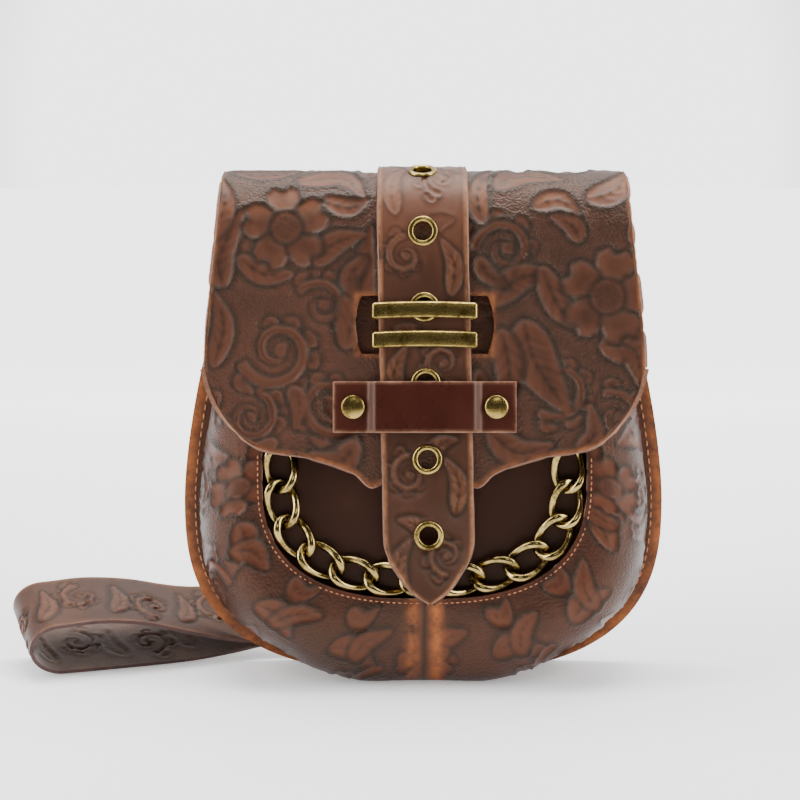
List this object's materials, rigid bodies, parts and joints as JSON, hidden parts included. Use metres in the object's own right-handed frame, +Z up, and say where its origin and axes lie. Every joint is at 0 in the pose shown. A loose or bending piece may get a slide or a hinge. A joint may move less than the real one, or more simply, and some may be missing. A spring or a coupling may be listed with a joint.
{
  "type": "chain bag",
  "caption": "Small tooled leather flap bag with a rounded body, a closure strap through metal loops, a curb chain across its window and a hanging loop.",
  "frame": {"origin": "middle of the base where the bag rests on the floor", "axes": "+X to the bag's right seen from the front, -Y out of the front, +Z up"},
  "size_m": [0.3087, 0.0959, 0.2362],
  "materials": {
    "tooled_leather": "tooled, rubbed edges, semi-gloss",
    "strap_leather": "tooled, waxed, worn edges",
    "smooth_leather": "smooth, pulled-up wax",
    "antique_brass": "antique, rubbed high points",
    "chain_brass": "antique, dark recesses"
  },
  "bodies": {
    "root": {"back_panel": "tooled_leather", "front_frame": "tooled_leather", "front_insert": "smooth_leather", "flap": "tooled_leather", "closure_strap": "strap_leather", "keeper_band": "smooth_leather", "hanging_loop": "strap_leather", "strap_loop_upper": "antique_brass", "strap_loop_lower": "antique_brass", "keeper_rivet_left": "antique_brass", "keeper_rivet_right": "antique_brass", "chain_anchor_left": "chain_brass", "chain_anchor_right": "chain_brass", "eyelet_1": "antique_brass", "eyelet_2": "antique_brass", "eyelet_3": "antique_brass", "eyelet_4": "antique_brass", "eyelet_5": "antique_brass", "eyelet_6": "antique_brass", "chain_link_01": "chain_brass", "chain_link_02": "chain_brass", "chain_link_03": "chain_brass", "chain_link_04": "chain_brass", "chain_link_05": "chain_brass", "chain_link_06": "chain_brass", "chain_link_07": "chain_brass", "chain_link_08": "chain_brass", "chain_link_09": "chain_brass", "chain_link_10": "chain_brass", "chain_link_11": "chain_brass", "chain_link_12": "chain_brass", "chain_link_13": "chain_brass"}
  },
  "joints": []
}
